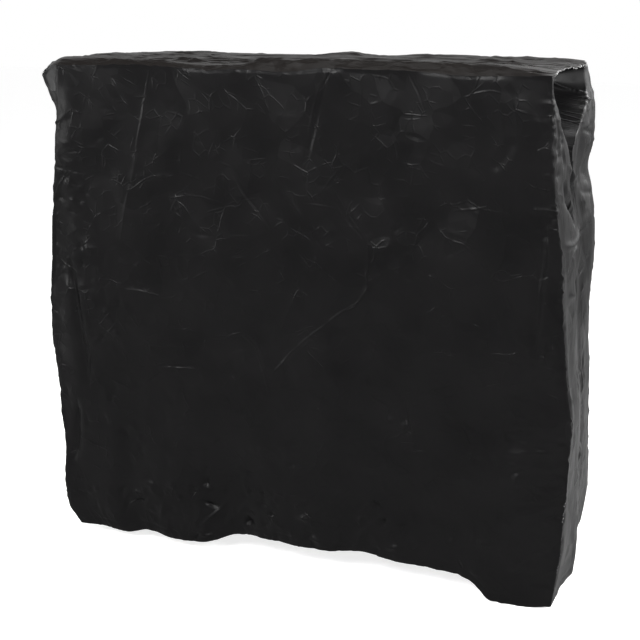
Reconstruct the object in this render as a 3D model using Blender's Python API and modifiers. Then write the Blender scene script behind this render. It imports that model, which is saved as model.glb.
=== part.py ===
"""Fitted cloth cover for a folded, upright table tennis table.

Five panels are sewn into a tall hollow box that is open at the bottom: a narrow top, a wide front
and back, and two end walls. The cloth is loose, so the end seams bow outwards below the table's
top corners, the right end is tucked in between the two upright halves, and the hem hangs unevenly.
The origin is the middle of the top's underside; +X is to the right, +Y to the back, +Z up.
"""
import math
from collections import namedtuple

import bmesh
import bpy
from mathutils import Vector

HEIGHT = 1.610            # from the top to the level that the hem tables start from
FRONT_Y = -0.370          # the flat of the front wall
BACK_Y = 0.370            # the flat of the back wall
CLOTH = 0.0015            # one layer with its small crinkles
HEM_CLOTH = 0.0030        # the turned-up hem, two layers
HEM_DEPTH = 0.030
HEM_STEP = 0.006          # height over which one layer thickens to two
WELT = 0.008              # how far each sewn edge rolls over towards its neighbour
GAP = 0.00045             # between the sewn edges of two panels
CORNER_GAP = 0.0024       # where three panels meet
NEAR_CORNER_GAP = 0.0014  # and along the seams beside that corner
TOP_REACH = 0.30          # how far down the uneven top edge tells in the walls
HEM_REACH = 1.00          # how far down the uneven hem starts to tell
RIM_REACH = 0.25          # share of the top's width over which its uneven edges die away
LONG_STEPS = 22           # columns of the front and back walls
END_STEPS = (3, 4, 4, 3)  # columns of an end wall: seam, near lip, bottom of the tuck, far lip, seam
EDGE_ROLL = 0.06          # share of a wall's width that curves back to its seam
EAR_SHARE = 0.05          # share of the front's width that bends back at the left top corner

# Where the four corner seams run, from the middle of the cover; how far the long walls fall back
# from their flat at the seams; and how far the left end of the front bends back at the top.
Seams = namedtuple("Seams", "depth front_left front_right back_right back_left fall_back ear")
SEAMS = [
    Seams(0.00, -0.890, 0.789, 0.792, -0.850, 0.000, 0.045),
    Seams(0.07, -0.860, 0.795, 0.812, -0.842, 0.000, 0.024),
    Seams(0.14, -0.822, 0.800, 0.825, -0.832, 0.002, 0.000),
    Seams(0.22, -0.834, 0.806, 0.831, -0.836, 0.005, 0.000),
    Seams(0.27, -0.838, 0.809, 0.834, -0.839, 0.006, 0.000),
    Seams(0.34, -0.846, 0.816, 0.820, -0.844, 0.009, 0.000),
    Seams(0.42, -0.859, 0.827, 0.838, -0.850, 0.013, 0.000),
    Seams(0.52, -0.874, 0.843, 0.857, -0.858, 0.018, 0.000),
    Seams(0.66, -0.889, 0.853, 0.864, -0.866, 0.024, 0.000),
    Seams(0.80, -0.905, 0.867, 0.858, -0.872, 0.028, 0.000),
    Seams(0.94, -0.908, 0.883, 0.862, -0.876, 0.026, 0.000),
    Seams(1.06, -0.892, 0.903, 0.872, -0.878, 0.020, 0.000),
    Seams(1.22, -0.882, 0.901, 0.880, -0.874, 0.014, 0.000),
    Seams(1.35, -0.871, 0.896, 0.886, -0.872, 0.006, 0.000),
    Seams(1.45, -0.878, 0.893, 0.890, -0.876, 0.000, 0.000),
    Seams(1.54, -0.864, 0.884, 0.889, -0.868, -0.008, 0.000),
    Seams(1.62, -0.806, 0.876, 0.880, -0.850, -0.014, 0.000),
]

# How far the top edge of each wall stands above the underside of the top's middle.
Edge = namedtuple("Edge", "across rise")
FRONT_EDGE = [
    Edge(0.00, -0.038), Edge(0.05, -0.003), Edge(0.13, 0.000), Edge(0.23, 0.006),
    Edge(0.37, -0.005), Edge(0.45, 0.000), Edge(0.51, -0.006), Edge(0.60, 0.008),
    Edge(0.76, 0.007),
    Edge(0.86, -0.003), Edge(1.00, 0.003),
]
RIGHT_EDGE = [Edge(0.00, 0.003), Edge(0.15, 0.010), Edge(0.38, 0.008), Edge(0.62, -0.006),
              Edge(0.90, -0.008), Edge(1.00, 0.002)]
BACK_EDGE = [
    Edge(0.00, 0.002), Edge(0.05, 0.008), Edge(0.18, 0.009), Edge(0.33, 0.013),
    Edge(0.44, 0.004), Edge(0.50, 0.014), Edge(0.60, 0.000), Edge(0.75, 0.002),
    Edge(0.89, 0.005), Edge(1.00, -0.003),
]
LEFT_EDGE = [Edge(0.00, -0.003), Edge(0.50, 0.010), Edge(0.88, -0.003), Edge(1.00, -0.038)]

# How far down each hem hangs, and how far it stands out from the wall's line.
Hem = namedtuple("Hem", "across depth out")
FRONT_HEM = [
    Hem(0.00, 1.620, 0.000), Hem(0.06, 1.622, 0.004), Hem(0.11, 1.627, 0.012),
    Hem(0.16, 1.611, -0.004), Hem(0.22, 1.620, 0.008), Hem(0.28, 1.618, 0.014),
    Hem(0.36, 1.583, -0.012), Hem(0.45, 1.573, 0.002), Hem(0.55, 1.572, 0.010),
    Hem(0.62, 1.567, -0.006), Hem(0.71, 1.579, 0.006), Hem(0.78, 1.580, -0.004),
    Hem(0.84, 1.591, 0.004), Hem(0.89, 1.650, 0.018), Hem(0.95, 1.655, 0.012),
    Hem(1.00, 1.640, 0.000),
]
RIGHT_HEM = [
    Hem(0.00, 1.640, 0.000), Hem(0.12, 1.636, 0.006), Hem(0.24, 1.636, 0.018),
    Hem(0.34, 1.645, 0.028), Hem(0.44, 1.632, 0.016), Hem(0.58, 1.626, 0.000),
    Hem(0.80, 1.630, -0.004), Hem(1.00, 1.620, 0.000),
]
BACK_HEM = [
    Hem(0.00, 1.620, 0.000), Hem(0.10, 1.600, 0.012), Hem(0.25, 1.588, -0.006),
    Hem(0.42, 1.580, 0.010), Hem(0.58, 1.596, -0.008), Hem(0.72, 1.590, 0.010),
    Hem(0.88, 1.604, -0.004), Hem(1.00, 1.598, 0.000),
]
LEFT_HEM = [
    Hem(0.00, 1.598, 0.000), Hem(0.22, 1.586, 0.016), Hem(0.50, 1.606, -0.006),
    Hem(0.75, 1.600, 0.014), Hem(1.00, 1.620, 0.000),
]

# The end walls are tucked in between the table's two halves: where the near lip, the bottom and the
# far lip of the tuck lie across the wall at each depth, and how far the cloth is pushed in.
Tuck = namedtuple("Tuck", "depth near gully far push")
LIPS_AT_TOP = (0.05, 0.46, 0.95)
LIPS_LOW = (0.28, 0.50, 0.72)
RIGHT_TUCK = [
    Tuck(0.000, *LIPS_AT_TOP, 0.000),
    Tuck(0.012, *LIPS_AT_TOP, 0.004),
    Tuck(0.030, 0.07, 0.44, 0.95, 0.080),
    Tuck(0.075, 0.11, 0.46, 0.93, 0.145),
    Tuck(0.108, 0.14, 0.46, 0.82, 0.160),
    Tuck(0.147, 0.17, 0.45, 0.72, 0.160),
    Tuck(0.188, 0.20, 0.42, 0.61, 0.130),
    Tuck(0.213, 0.24, 0.39, 0.51, 0.105),
    Tuck(0.250, 0.30, 0.37, 0.43, 0.070),
    Tuck(0.290, 0.32, 0.36, 0.40, 0.030),
    Tuck(0.420, 0.36, 0.46, 0.56, 0.010),
    Tuck(0.660, 0.38, 0.52, 0.66, 0.000),
    Tuck(0.900, *LIPS_LOW, 0.000),
]
LEFT_TUCK = [
    Tuck(0.00, *LIPS_AT_TOP, 0.000),
    Tuck(0.01, *LIPS_AT_TOP, 0.002),
    Tuck(0.08, 0.08, 0.50, 0.92, 0.045),
    Tuck(0.18, 0.20, 0.50, 0.80, 0.055),
    Tuck(0.32, 0.36, 0.50, 0.66, 0.030),
    Tuck(0.50, *LIPS_LOW, 0.000),
]

# Upright folds in the walls: where each lies, its half-width, and how far it stands out in the
# middle of the wall's height and at the hem.
Fold = namedtuple("Fold", "across spread middle hem")
FRONT_FOLDS = [
    Fold(0.20, 0.09, 0.004, 0.010), Fold(0.37, 0.07, -0.004, -0.010),
    Fold(0.55, 0.10, 0.006, 0.006), Fold(0.73, 0.06, -0.006, -0.008),
    Fold(0.86, 0.07, 0.004, 0.010),
]
RIGHT_FOLDS = [
    Fold(0.24, 0.18, 0.008, 0.000), Fold(0.56, 0.16, -0.014, -0.012),
    Fold(0.82, 0.14, 0.008, 0.006),
]
BACK_FOLDS = [
    Fold(0.18, 0.10, 0.006, 0.012), Fold(0.45, 0.10, -0.005, -0.010),
    Fold(0.74, 0.12, 0.007, 0.012),
]
LEFT_FOLDS = [Fold(0.28, 0.18, 0.012, 0.010), Fold(0.62, 0.18, -0.012, -0.010)]

Wall = namedtuple("Wall", "first_seam last_seam outward edge hem folds tuck")
WALLS = {
    "front_panel": Wall("front_left", "front_right", Vector((0, -1, 0)),
                        FRONT_EDGE, FRONT_HEM, FRONT_FOLDS, None),
    "right_side_panel": Wall("front_right", "back_right", Vector((1, 0, 0)),
                             RIGHT_EDGE, RIGHT_HEM, RIGHT_FOLDS, RIGHT_TUCK),
    "back_panel": Wall("back_right", "back_left", Vector((0, 1, 0)),
                       BACK_EDGE, BACK_HEM, BACK_FOLDS, None),
    "left_side_panel": Wall("back_left", "front_left", Vector((-1, 0, 0)),
                            LEFT_EDGE, LEFT_HEM, LEFT_FOLDS, LEFT_TUCK),
}
ROUND = list(WALLS)       # the walls in order around the cover

ROW_DEPTHS = [0.03, 0.08, 0.14, 0.20, 0.26, 0.32, 0.38, 0.45, 0.54, 0.65, 0.77,
              0.89, 1.01, 1.13, 1.24, 1.35, 1.44, 1.52]


def ease(x):
    """Rise smoothly from 0 to 1 as x does."""
    x = min(1.0, max(0.0, x))
    return x * x * (3 - 2 * x)


def read(table, column, at):
    """Read a named column between a table's rows, on a smooth curve that never overshoots them."""
    places = [row[0] for row in table]
    values = [getattr(row, column) for row in table]
    if at <= places[0]:
        return values[0]
    if at >= places[-1]:
        return values[-1]
    steps = [(values[i + 1] - values[i]) / (places[i + 1] - places[i]) for i in range(len(table) - 1)]

    def slope(i):
        if i == 0 or i == len(table) - 1:
            return steps[min(i, len(steps) - 1)]
        before, after = steps[i - 1], steps[i]
        return 2 * before * after / (before + after) if before * after > 0 else 0.0

    i = max(k for k in range(len(steps)) if places[k] <= at)
    width = places[i + 1] - places[i]
    t = (at - places[i]) / width
    return (values[i] * (1 - t) ** 2 * (1 + 2 * t) + values[i + 1] * t * t * (3 - 2 * t)
            + width * t * (1 - t) * (slope(i) * (1 - t) - slope(i + 1) * t))


def seam_point(seam, depth):
    """Plan position of a corner seam at a depth below the top."""
    back = read(SEAMS, "fall_back", depth)
    if seam == "front_left":
        back += read(SEAMS, "ear", depth)
    y = FRONT_Y + back if seam.startswith("front") else BACK_Y - back
    return Vector((read(SEAMS, seam, depth), y, 0.0))


def flatness(across):
    """1 over the flat of a wall, falling to 0 at its two seams."""
    return ease(across / EDGE_ROLL) * ease((1 - across) / EDGE_ROLL)


def standing_out(wall, across, depth):
    """How far a wall stands out from the straight line between its two seams."""
    low = ease((depth - HEM_REACH) / (HEIGHT - HEM_REACH))
    out = read(wall.hem, "out", across) * low
    for fold in wall.folds:
        height = fold.middle * ease(depth / (HEIGHT / 2)) * (1 - low) + fold.hem * low
        away = abs(across - fold.across) / fold.spread
        out += height * (1 - ease(away))
    out *= flatness(across)
    if wall.tuck:
        near, gully, far = (read(wall.tuck, place, depth) for place in ("near", "gully", "far"))
        lip = near if across < gully else far
        inside = max(0.0, (across - lip) / (gully - lip))
        out -= read(wall.tuck, "push", depth) * math.sin(inside * math.pi / 2)
    else:
        out += read(SEAMS, "fall_back", depth) * flatness(across)
    if wall.first_seam == "front_left":
        out += read(SEAMS, "ear", depth) * (1 - across - max(0.0, 1 - across / EAR_SHARE))
    return out


def wall_point(name, across, down):
    """A point of a wall: across from its first seam to its last, down from the top edge to the hem."""
    wall = WALLS[name]
    depth = down * HEIGHT
    rise = read(wall.edge, "rise", across) * max(0.0, 1 - depth / TOP_REACH)
    drop = read(wall.hem, "depth", across) - HEIGHT
    z = rise - depth - drop * ease((depth - HEM_REACH) / (HEIGHT - HEM_REACH))
    point = seam_point(wall.first_seam, depth).lerp(seam_point(wall.last_seam, depth), across)
    point += wall.outward * standing_out(wall, across, depth)
    point.z = z
    return point


def top_point(across, back):
    """A point of the top, stretched between the top edges of the four walls."""
    def edge(wall, where):
        return wall_point(wall, where, 0.0)

    front, rear = edge("front_panel", across), edge("back_panel", 1 - across)
    left, right = edge("left_side_panel", 1 - back), edge("right_side_panel", back)
    front_corners = [edge("front_panel", 0), edge("front_panel", 1)]
    back_corners = [edge("back_panel", 1), edge("back_panel", 0)]
    corners = front_corners[0].lerp(front_corners[1], across).lerp(
        back_corners[0].lerp(back_corners[1], across), back)
    point = front.lerp(rear, back) + left.lerp(right, across) - corners
    near_front, near_back = 1 - ease(back / RIM_REACH), 1 - ease((1 - back) / RIM_REACH)
    near_left, near_right = 1 - ease(across / RIM_REACH), 1 - ease((1 - across) / RIM_REACH)
    point.z = (front.z * near_front + rear.z * near_back + left.z * near_left + right.z * near_right
               - near_left * (front_corners[0].z * near_front + back_corners[0].z * near_back)
               - near_right * (front_corners[1].z * near_front + back_corners[1].z * near_back))
    return point


LONG_EDGE = WELT / 1.65   # the welt's share of a long wall's width
SHORT_EDGE = WELT / 0.74  # and of an end wall's
DOWN_EDGE = WELT / HEIGHT
BESIDE_CORNER = 3         # grid steps from a corner over which the wider gap runs


def between(stops, counts):
    """Divide each stretch between two stops evenly, into as many steps as its count."""
    places = [stops[0]]
    for start, end, count in zip(stops, stops[1:], counts):
        places += [start + (end - start) * (k + 1) / count for k in range(count)]
    return places


LONG_COLUMNS = between([0.0, LONG_EDGE, 1 - LONG_EDGE, 1.0], [1, LONG_STEPS, 1])
END_COLUMNS = between([0.0, SHORT_EDGE, *LIPS_AT_TOP, 1 - SHORT_EDGE, 1.0], [1, *END_STEPS, 1])


def columns_of(name):
    """Where a wall's columns start at its top edge, as shares of its width."""
    return END_COLUMNS if WALLS[name].tuck else LONG_COLUMNS


ROWS = ([0.0, DOWN_EDGE] + [depth / HEIGHT for depth in ROW_DEPTHS]
        + [1 - (HEM_DEPTH + HEM_STEP) / HEIGHT, 1 - HEM_DEPTH / HEIGHT, 1.0])


def seam_gap(steps_from_corner):
    """The gap between two sewn edges, wider beside a corner where three panels meet."""
    return NEAR_CORNER_GAP if steps_from_corner < BESIDE_CORNER else GAP


def welted(corner, own, others, gap):
    """Move a corner point to the middle of the rolled welt, half a gap on its own panel's side."""
    middle = corner + (own - corner) / 2
    for other in others:
        middle += (other - corner) / 2
    away = own - sum(others, Vector()) / len(others)
    return middle + away.normalized() * gap / 2


def gathered(name, across, down):
    """Draw a wall's columns to the lips and the bottom of its tuck."""
    wall = WALLS[name]
    if not wall.tuck:
        return across
    at_top = [0.0, SHORT_EDGE, *LIPS_AT_TOP, 1 - SHORT_EDGE, 1.0]
    lips = [read(wall.tuck, place, down * HEIGHT) for place in ("near", "gully", "far")]
    here = [0.0, SHORT_EDGE, *lips, 1 - SHORT_EDGE, 1.0]
    k = max(n for n in range(len(at_top) - 1) if at_top[n] <= across)
    share = (across - at_top[k]) / (at_top[k + 1] - at_top[k])
    return here[k] + share * (here[k + 1] - here[k])


def wall_vertex(name, i, j):
    """The grid vertex in column i and row j of a wall, with its sewn edges rolled over."""
    columns, down = columns_of(name), ROWS[j]
    across = gathered(name, columns[i], down)
    corner = wall_point(name, across, down)
    at_seam, at_top = i in (0, len(columns) - 1), j == 0
    if not (at_seam or at_top):
        return corner
    own_column = {0: 1, len(columns) - 1: len(columns) - 2}.get(i, i)
    own = wall_point(name, columns[own_column], ROWS[1] if at_top else down)
    others = []
    if at_top:
        x, y = rim_place(name, across)
        others.append(inset_top_point(x, y))
    if at_seam:
        turn = -1 if i == 0 else 1
        neighbour = ROUND[(ROUND.index(name) + turn) % len(ROUND)]
        near = columns_of(neighbour)[1 if i else -2]
        others.append(wall_point(neighbour, near, down))
    if at_top and at_seam:
        return three_way(corner, name, i, own)
    return welted(corner, own, others, seam_gap(j if at_seam else min(i, len(columns) - 1 - i)))


def rim_place(name, across):
    """Where a place along a wall's top edge lies on the top panel, as (across, back)."""
    return {
        "front_panel": (across, 0.0),
        "right_side_panel": (1.0, across),
        "back_panel": (1 - across, 1.0),
        "left_side_panel": (0.0, 1 - across),
    }[name]


def inset_top_point(across, back):
    """The point of the top a welt's width in from its edge."""
    across = min(1 - LONG_EDGE, max(LONG_EDGE, across)) if across in (0.0, 1.0) else across
    back = min(1 - SHORT_EDGE, max(SHORT_EDGE, back)) if back in (0.0, 1.0) else back
    return top_point(across, back)


def three_way(corner, name, i, own):
    """A panel's tip where it meets two others at a top corner."""
    along = wall_point(name, columns_of(name)[1 if i == 0 else -2], 0.0)
    turn = -1 if i == 0 else 1
    neighbour = ROUND[(ROUND.index(name) + turn) % len(ROUND)]
    sideways = wall_point(neighbour, columns_of(neighbour)[1 if i else -2], 0.0)
    down = wall_point(name, columns_of(name)[i], DOWN_EDGE)
    middle = corner + ((along - corner) + (sideways - corner) + (down - corner)) / 2
    return middle + (own - middle).normalized() * CORNER_GAP


def top_vertex(i, j):
    """The grid vertex in column i and row j of the top, with its sewn edges rolled over."""
    columns, rows = columns_of("front_panel"), columns_of("right_side_panel")
    across, back = columns[i], rows[j]
    corner = top_point(across, back)
    side = {0: "left_side_panel", len(columns) - 1: "right_side_panel"}.get(i)
    long_side = {0: "front_panel", len(rows) - 1: "back_panel"}.get(j)
    if side is None and long_side is None:
        return corner
    own = inset_top_point(across, back)
    places = {"left_side_panel": 1 - back, "right_side_panel": back,
              "front_panel": across, "back_panel": 1 - across}
    if side and long_side:
        sideways = [top_point(min(1 - LONG_EDGE, max(LONG_EDGE, across)), back),
                    top_point(across, min(1 - SHORT_EDGE, max(SHORT_EDGE, back)))]
        down = wall_point(side, places[side], DOWN_EDGE)
        middle = corner + sum((point - corner for point in sideways + [down]), Vector()) / 2
        return middle + (own - middle).normalized() * CORNER_GAP
    wall = side or long_side
    below = wall_point(wall, places[wall], DOWN_EDGE)
    steps = min(j, len(rows) - 1 - j) if side else min(i, len(columns) - 1 - i)
    return welted(corner, own, [below], seam_gap(steps))


def cloth_material(name):
    """Thin black proofed cloth with a slight gloss."""
    material = bpy.data.materials.new(name)
    material.use_nodes = True
    shader = material.node_tree.nodes["Principled BSDF"]
    shader.inputs["Base Color"].default_value = (0.012, 0.012, 0.013, 1.0)
    shader.inputs["Roughness"].default_value = 0.45
    shader.inputs["Metallic"].default_value = 0.0
    return material


def make_panel(name, place, columns, rows, hem_rows):
    """Lay a grid of cloth on a panel's shape and give it its thickness, doubled in the hem rows."""
    cloth = bmesh.new()
    bmesh.ops.create_grid(cloth, x_segments=columns - 1, y_segments=rows - 1, size=0.5)
    weight = cloth.verts.layers.deform.verify()
    for vertex in cloth.verts:
        i = round((vertex.co.x + 0.5) * (columns - 1))
        j = round((vertex.co.y + 0.5) * (rows - 1))
        vertex.co = place(i, j)
        if j >= rows - hem_rows:
            vertex[weight][0] = 1.0
    bmesh.ops.triangulate(cloth, faces=cloth.faces[:], quad_method="SHORT_EDGE")
    if hem_rows:
        bmesh.ops.reverse_faces(cloth, faces=cloth.faces[:])
    mesh = bpy.data.meshes.new(name)
    cloth.to_mesh(mesh)
    cloth.free()
    mesh.materials.append(cloth_material(name.replace("panel", "cloth")))
    panel = bpy.data.objects.new(name, mesh)
    cover.objects.link(panel)
    panel.vertex_groups.new(name="hem")
    thickness = panel.modifiers.new("Thickness", "SOLIDIFY")
    thickness.thickness = HEM_CLOTH
    thickness.offset = -1.0
    thickness.vertex_group = "hem"
    thickness.thickness_vertex_group = CLOTH / HEM_CLOTH
    return panel


for leftover in list(bpy.data.objects):
    bpy.data.objects.remove(leftover)
cover = bpy.data.collections.new("table_tennis_table_cover")
bpy.context.scene.collection.children.link(cover)

for wall_name in WALLS:
    make_panel(wall_name, lambda i, j, wall=wall_name: wall_vertex(wall, i, j),
               len(columns_of(wall_name)), len(ROWS), hem_rows=2)
make_panel("top_panel", top_vertex, len(columns_of("front_panel")),
           len(columns_of("right_side_panel")), hem_rows=0)
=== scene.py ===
"""Looks of a fitted cloth cover for a folded, upright table tennis table.

Thin black proofed cloth, cut as five panels and sewn into a tall box that is open below. Lengths
are in metres; the origin is the middle of the top, +X right, +Y back and +Z up.
"""

import math
from collections import namedtuple

import bmesh
import bpy
import numpy as np
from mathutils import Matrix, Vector


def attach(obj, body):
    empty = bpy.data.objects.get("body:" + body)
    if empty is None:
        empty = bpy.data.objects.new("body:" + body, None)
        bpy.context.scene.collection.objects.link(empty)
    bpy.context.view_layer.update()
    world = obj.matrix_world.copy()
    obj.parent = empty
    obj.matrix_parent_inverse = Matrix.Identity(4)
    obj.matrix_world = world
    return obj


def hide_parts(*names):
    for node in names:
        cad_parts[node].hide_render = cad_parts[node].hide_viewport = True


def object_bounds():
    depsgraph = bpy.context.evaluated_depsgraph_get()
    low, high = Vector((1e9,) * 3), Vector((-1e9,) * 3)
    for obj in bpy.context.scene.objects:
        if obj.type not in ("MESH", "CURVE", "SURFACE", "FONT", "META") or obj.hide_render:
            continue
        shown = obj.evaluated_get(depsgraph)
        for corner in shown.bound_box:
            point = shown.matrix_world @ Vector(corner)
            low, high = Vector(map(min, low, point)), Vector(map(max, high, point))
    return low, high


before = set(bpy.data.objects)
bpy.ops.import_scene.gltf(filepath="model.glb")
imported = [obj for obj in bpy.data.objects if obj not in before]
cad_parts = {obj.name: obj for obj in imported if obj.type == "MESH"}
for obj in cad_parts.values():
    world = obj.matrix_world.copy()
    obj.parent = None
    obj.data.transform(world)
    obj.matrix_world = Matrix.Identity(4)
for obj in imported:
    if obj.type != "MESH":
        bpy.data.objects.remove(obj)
cad_low, cad_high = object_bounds()

# ---- The studio: a pale floor, a white surround and soft boxes of light.
scene = bpy.context.scene
scene.view_settings.view_transform = "Standard"

camera = bpy.data.objects.new("camera", bpy.data.cameras.new("camera"))
camera.data.lens = 65.6
camera.location = (1.274, -3.722, 0.258)
camera.rotation_euler = (math.radians(73.79), 0.0, math.radians(19.33))
scene.collection.objects.link(camera)
scene.camera = camera

FLOOR_SIZE = 40.0
FLOOR_DROP = 0.002        # how far the floor lies below the longest stretch of hem
# The floor's paint, first as it lights the cloth and then as the eye sees it: its grey, and how
# brightly it glows.
FLOOR_COATS = [(0.35, 0.15), (0.50, 0.80)]
WHITE = (1.0, 1.0, 1.0, 1.0)
SURROUND_DIM = 0.03       # how strongly the surround lights the cloth from the camera's side
SURROUND_BRIGHT = 1.15    # and from behind it
SURROUND_TURN = (-0.1, 0.9)   # between these headings, 1 being straight back, it brightens

floor_mesh = bmesh.new()
bmesh.ops.create_grid(floor_mesh, x_segments=1, y_segments=1, size=FLOOR_SIZE / 2)
bmesh.ops.translate(floor_mesh, verts=floor_mesh.verts, vec=(0, 0, cad_low.z - FLOOR_DROP))
floor = bpy.data.objects.new("floor", bpy.data.meshes.new("floor"))
floor_mesh.to_mesh(floor.data)
floor_mesh.free()
floor_paint = bpy.data.materials.new("floor_paint")
floor_paint.use_nodes = True
paint = floor_paint.node_tree.nodes
paint.remove(paint["Principled BSDF"])
paint_links = floor_paint.node_tree.links
looks = paint.new("ShaderNodeMixShader")
paint_links.new(paint.new("ShaderNodeLightPath").outputs["Is Camera Ray"], looks.inputs["Fac"])
for slot, (shade, glow) in enumerate(FLOOR_COATS, start=1):
    coat = paint.new("ShaderNodeBsdfPrincipled")
    coat.inputs["Base Color"].default_value = (shade, shade, shade, 1.0)
    coat.inputs["Roughness"].default_value = 0.9
    coat.inputs["Specular IOR Level"].default_value = 0.1
    coat.inputs["Emission Color"].default_value = WHITE
    coat.inputs["Emission Strength"].default_value = glow
    paint_links.new(coat.outputs["BSDF"], looks.inputs[slot])
paint_links.new(looks.outputs["Shader"], paint["Material Output"].inputs["Surface"])
floor.data.materials.append(floor_paint)
scene.collection.objects.link(floor)

surround = bpy.data.worlds.new("surround")
surround.use_nodes = True
scene.world = surround
sky = surround.node_tree.nodes
sky_links = surround.node_tree.links
seen = sky.new("ShaderNodeBackground")
seen.inputs["Color"].default_value = WHITE
lighting = sky["Background"]
lighting.inputs["Color"].default_value = WHITE
parts = sky.new("ShaderNodeSeparateXYZ")
sky_links.new(sky.new("ShaderNodeTexCoord").outputs["Generated"], parts.inputs["Vector"])
backdrop = sky.new("ShaderNodeMapRange")
backdrop.interpolation_type = "SMOOTHSTEP"
for end, turn, strength in zip(("Min", "Max"), SURROUND_TURN, (SURROUND_DIM, SURROUND_BRIGHT)):
    backdrop.inputs["From " + end].default_value = turn
    backdrop.inputs["To " + end].default_value = strength
sky_links.new(parts.outputs["Y"], backdrop.inputs["Value"])
sky_links.new(backdrop.outputs["Result"], lighting.inputs["Strength"])
choice = sky.new("ShaderNodeMixShader")
sky_links.new(sky.new("ShaderNodeLightPath").outputs["Is Camera Ray"], choice.inputs["Fac"])
sky_links.new(lighting.outputs["Background"], choice.inputs[1])
sky_links.new(seen.outputs["Background"], choice.inputs[2])
sky_links.new(choice.outputs["Shader"], sky["World Output"].inputs["Surface"])

# Square soft boxes: where each stands, the point it is aimed at, its side, and its power in watts.
SoftBox = namedtuple("SoftBox", "name place aim size power")
SOFT_BOXES = [
    SoftBox("overhead_box", (-0.3, -1.5, 3.2), (0.0, -0.4, -0.9), 1.2, 120.0),
    SoftBox("front_box", (-0.5, -3.7, 2.0), (-0.1, -0.4, -0.2), 1.7, 350.0),
    SoftBox("front_left_box", (-3.6, -2.4, 0.1), (-0.2, -0.4, -0.8), 1.2, 90.0),
    SoftBox("left_box", (-3.2, 0.2, 0.4), (-0.8, -0.3, -0.2), 1.4, 16.0),
    SoftBox("front_right_box", (3.2, -1.6, 0.6), (0.8, 0.0, -0.5), 1.0, 130.0),
    SoftBox("right_box", (3.2, 0.5, 0.9), (0.8, 0.0, -0.4), 1.0, 130.0),
    SoftBox("back_right_box", (1.8, 3.2, 1.4), (0.8, 0.0, -0.2), 1.6, 150.0),
]
for box in SOFT_BOXES:
    lamp = bpy.data.lights.new(box.name, "AREA")
    lamp.energy = box.power
    lamp.size = box.size
    holder = bpy.data.objects.new(box.name, lamp)
    holder.location = box.place
    aim = Vector(box.aim) - Vector(box.place)
    holder.rotation_euler = aim.to_track_quat("-Z", "Y").to_euler()
    scene.collection.objects.link(holder)

# ---- Front panel: the wide wall that faces the room, one cut of thin proofed cloth. It hangs from
# the top seam, bows out at its ends where the cover is wider than the table, and is creased from
# its packing. Its hem is turned up inside and stitched.
HEIGHT = 1.610            # from the top to the level line that the hem wavers about
FRONT_Y = -0.370          # the flat of the front wall
BACK_Y = 0.370            # the flat of the back wall
TOP_REACH = 0.30          # how far down the uneven top edge tells in the walls
HEM_REACH = 1.00          # how far down the uneven hem starts to tell
EDGE_ROLL = 0.06          # share of a wall's width that curves back to its seam
EAR = 0.14                # how far down the front's left top corner is folded back
EAR_SHARE = 0.061         # the fold's share of the front's width at the top
EAR_BACK = 0.062          # how far back its tip goes

# Where the four corner seams run, from the middle of the cover, and how far the long walls fall
# back from their flat at the seams.
Seams = namedtuple("Seams", "depth front_left front_right back_right back_left fall_back")
SEAMS = [
    Seams(0.00, -0.906, 0.789, 0.792, -0.850, 0.000),
    Seams(0.07, -0.862, 0.795, 0.812, -0.842, 0.000),
    Seams(0.14, -0.822, 0.800, 0.832, -0.832, 0.002),
    Seams(0.22, -0.834, 0.806, 0.836, -0.836, 0.005),
    Seams(0.27, -0.838, 0.809, 0.834, -0.839, 0.006),
    Seams(0.34, -0.846, 0.816, 0.820, -0.844, 0.009),
    Seams(0.42, -0.859, 0.827, 0.838, -0.850, 0.013),
    Seams(0.52, -0.874, 0.843, 0.857, -0.858, 0.018),
    Seams(0.66, -0.889, 0.853, 0.864, -0.866, 0.024),
    Seams(0.80, -0.905, 0.867, 0.858, -0.872, 0.028),
    Seams(0.94, -0.908, 0.883, 0.862, -0.876, 0.026),
    Seams(1.06, -0.892, 0.903, 0.872, -0.878, 0.020),
    Seams(1.22, -0.882, 0.901, 0.880, -0.874, 0.014),
    Seams(1.35, -0.871, 0.896, 0.886, -0.872, 0.006),
    Seams(1.45, -0.878, 0.893, 0.890, -0.876, 0.000),
    Seams(1.54, -0.864, 0.884, 0.889, -0.868, -0.008),
    Seams(1.62, -0.806, 0.876, 0.880, -0.850, -0.014),
]

# How far the wall's top edge stands above the middle of the top.
Edge = namedtuple("Edge", "across rise")
FRONT_EDGE = [
    Edge(0.00, -0.038), Edge(0.05, -0.003), Edge(0.13, 0.000), Edge(0.23, 0.006),
    Edge(0.37, -0.005), Edge(0.45, 0.000), Edge(0.51, -0.006), Edge(0.60, 0.008),
    Edge(0.76, 0.007), Edge(0.86, -0.003), Edge(1.00, 0.003),
]
# How far down the hem hangs, and how far it stands out from the wall's line.
Hem = namedtuple("Hem", "across depth out")
FRONT_HEM = [
    Hem(0.00, 1.620, 0.000), Hem(0.06, 1.622, 0.004), Hem(0.11, 1.627, 0.012),
    Hem(0.16, 1.611, -0.004), Hem(0.22, 1.620, 0.008), Hem(0.28, 1.618, 0.014),
    Hem(0.36, 1.583, -0.012), Hem(0.45, 1.573, 0.002), Hem(0.55, 1.572, 0.010),
    Hem(0.62, 1.567, -0.006), Hem(0.71, 1.579, 0.006), Hem(0.78, 1.580, -0.004),
    Hem(0.84, 1.591, 0.004), Hem(0.89, 1.650, 0.018), Hem(0.95, 1.655, 0.012),
    Hem(1.00, 1.640, 0.000),
]
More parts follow.
